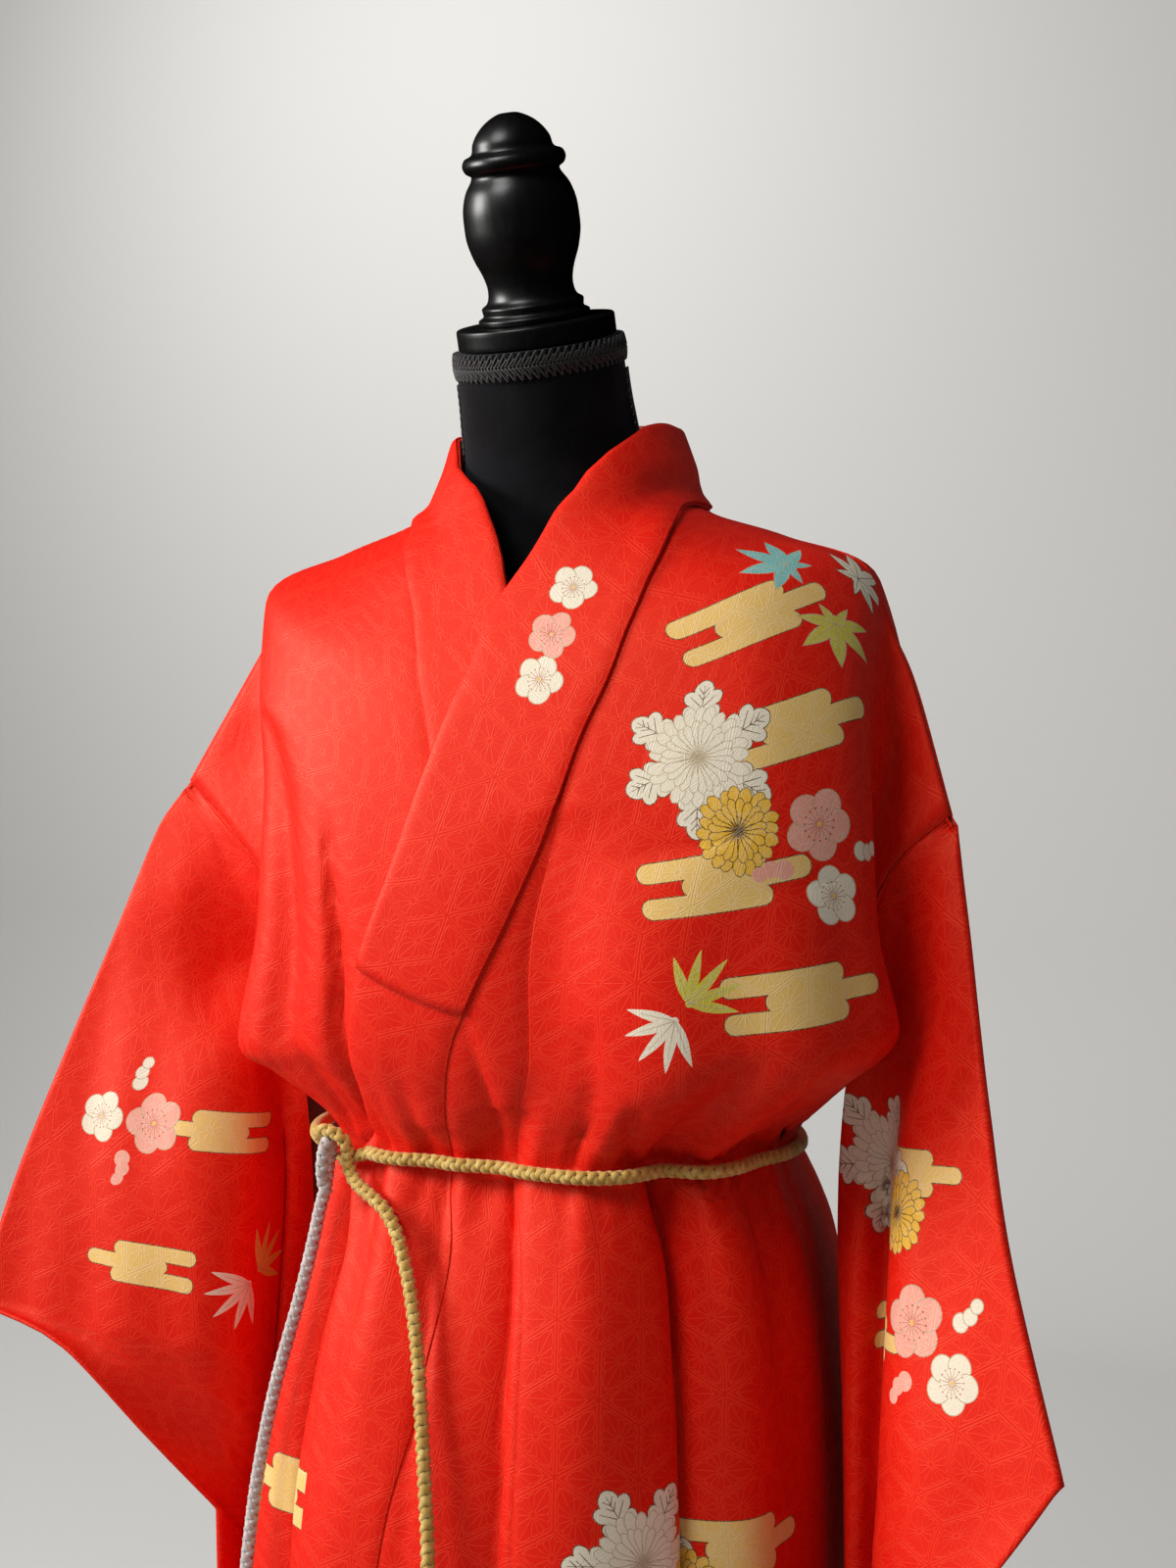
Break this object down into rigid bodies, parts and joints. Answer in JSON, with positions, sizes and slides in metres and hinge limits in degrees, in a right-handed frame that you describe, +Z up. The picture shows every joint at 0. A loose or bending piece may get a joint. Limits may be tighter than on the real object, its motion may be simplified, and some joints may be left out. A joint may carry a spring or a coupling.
{
  "type": "silk kimono on a dress form",
  "caption": "Long-sleeved silk kimono wrapped left over right and tied with a braided tasselled cord, standing on a limbless dress form with a turned finial.",
  "frame": {"origin": "centre of the part's box without its cords, on the floor under the stand's base", "axes": "+Z up; the garment's front faces -Y; +X towards the wearer's left"},
  "size_m": [0.707, 0.3799, 1.7087],
  "materials": {
    "silk": "satin figured silk with a tonal woven pattern and painted motifs",
    "lining": "plain silk lining, soft sheen",
    "cord_gold": "braided silk cord with a metallic yarn glint",
    "cord_silver": "braided silk cord with a metallic yarn glint",
    "velvet": "matt short-pile velvet",
    "trim": "scroll-woven gimp braid",
    "black_wood": "satin black lacquer on turned wood",
    "black_metal": "satin black paint"
  },
  "bodies": {
    "root": {"front_left": "silk", "front_right": "silk", "back_left": "silk", "back_right": "silk", "okumi_left": "silk", "okumi_right": "silk", "collar": "silk", "over_collar": "silk", "sleeve_left": "silk", "sleeve_right": "silk", "sleeve_lining_left": "lining", "sleeve_lining_right": "lining", "belt_round": "cord_gold", "belt_knot": "cord_gold", "tail_silver": "cord_silver", "tassel_silver": "cord_silver", "tail_gold": "cord_gold", "tassel_gold": "cord_gold", "form_torso": "velvet", "form_cap": "black_wood", "form_finial": "black_wood", "form_braid": "trim", "form_pole": "black_metal", "form_base": "black_wood"}
  },
  "joints": []
}
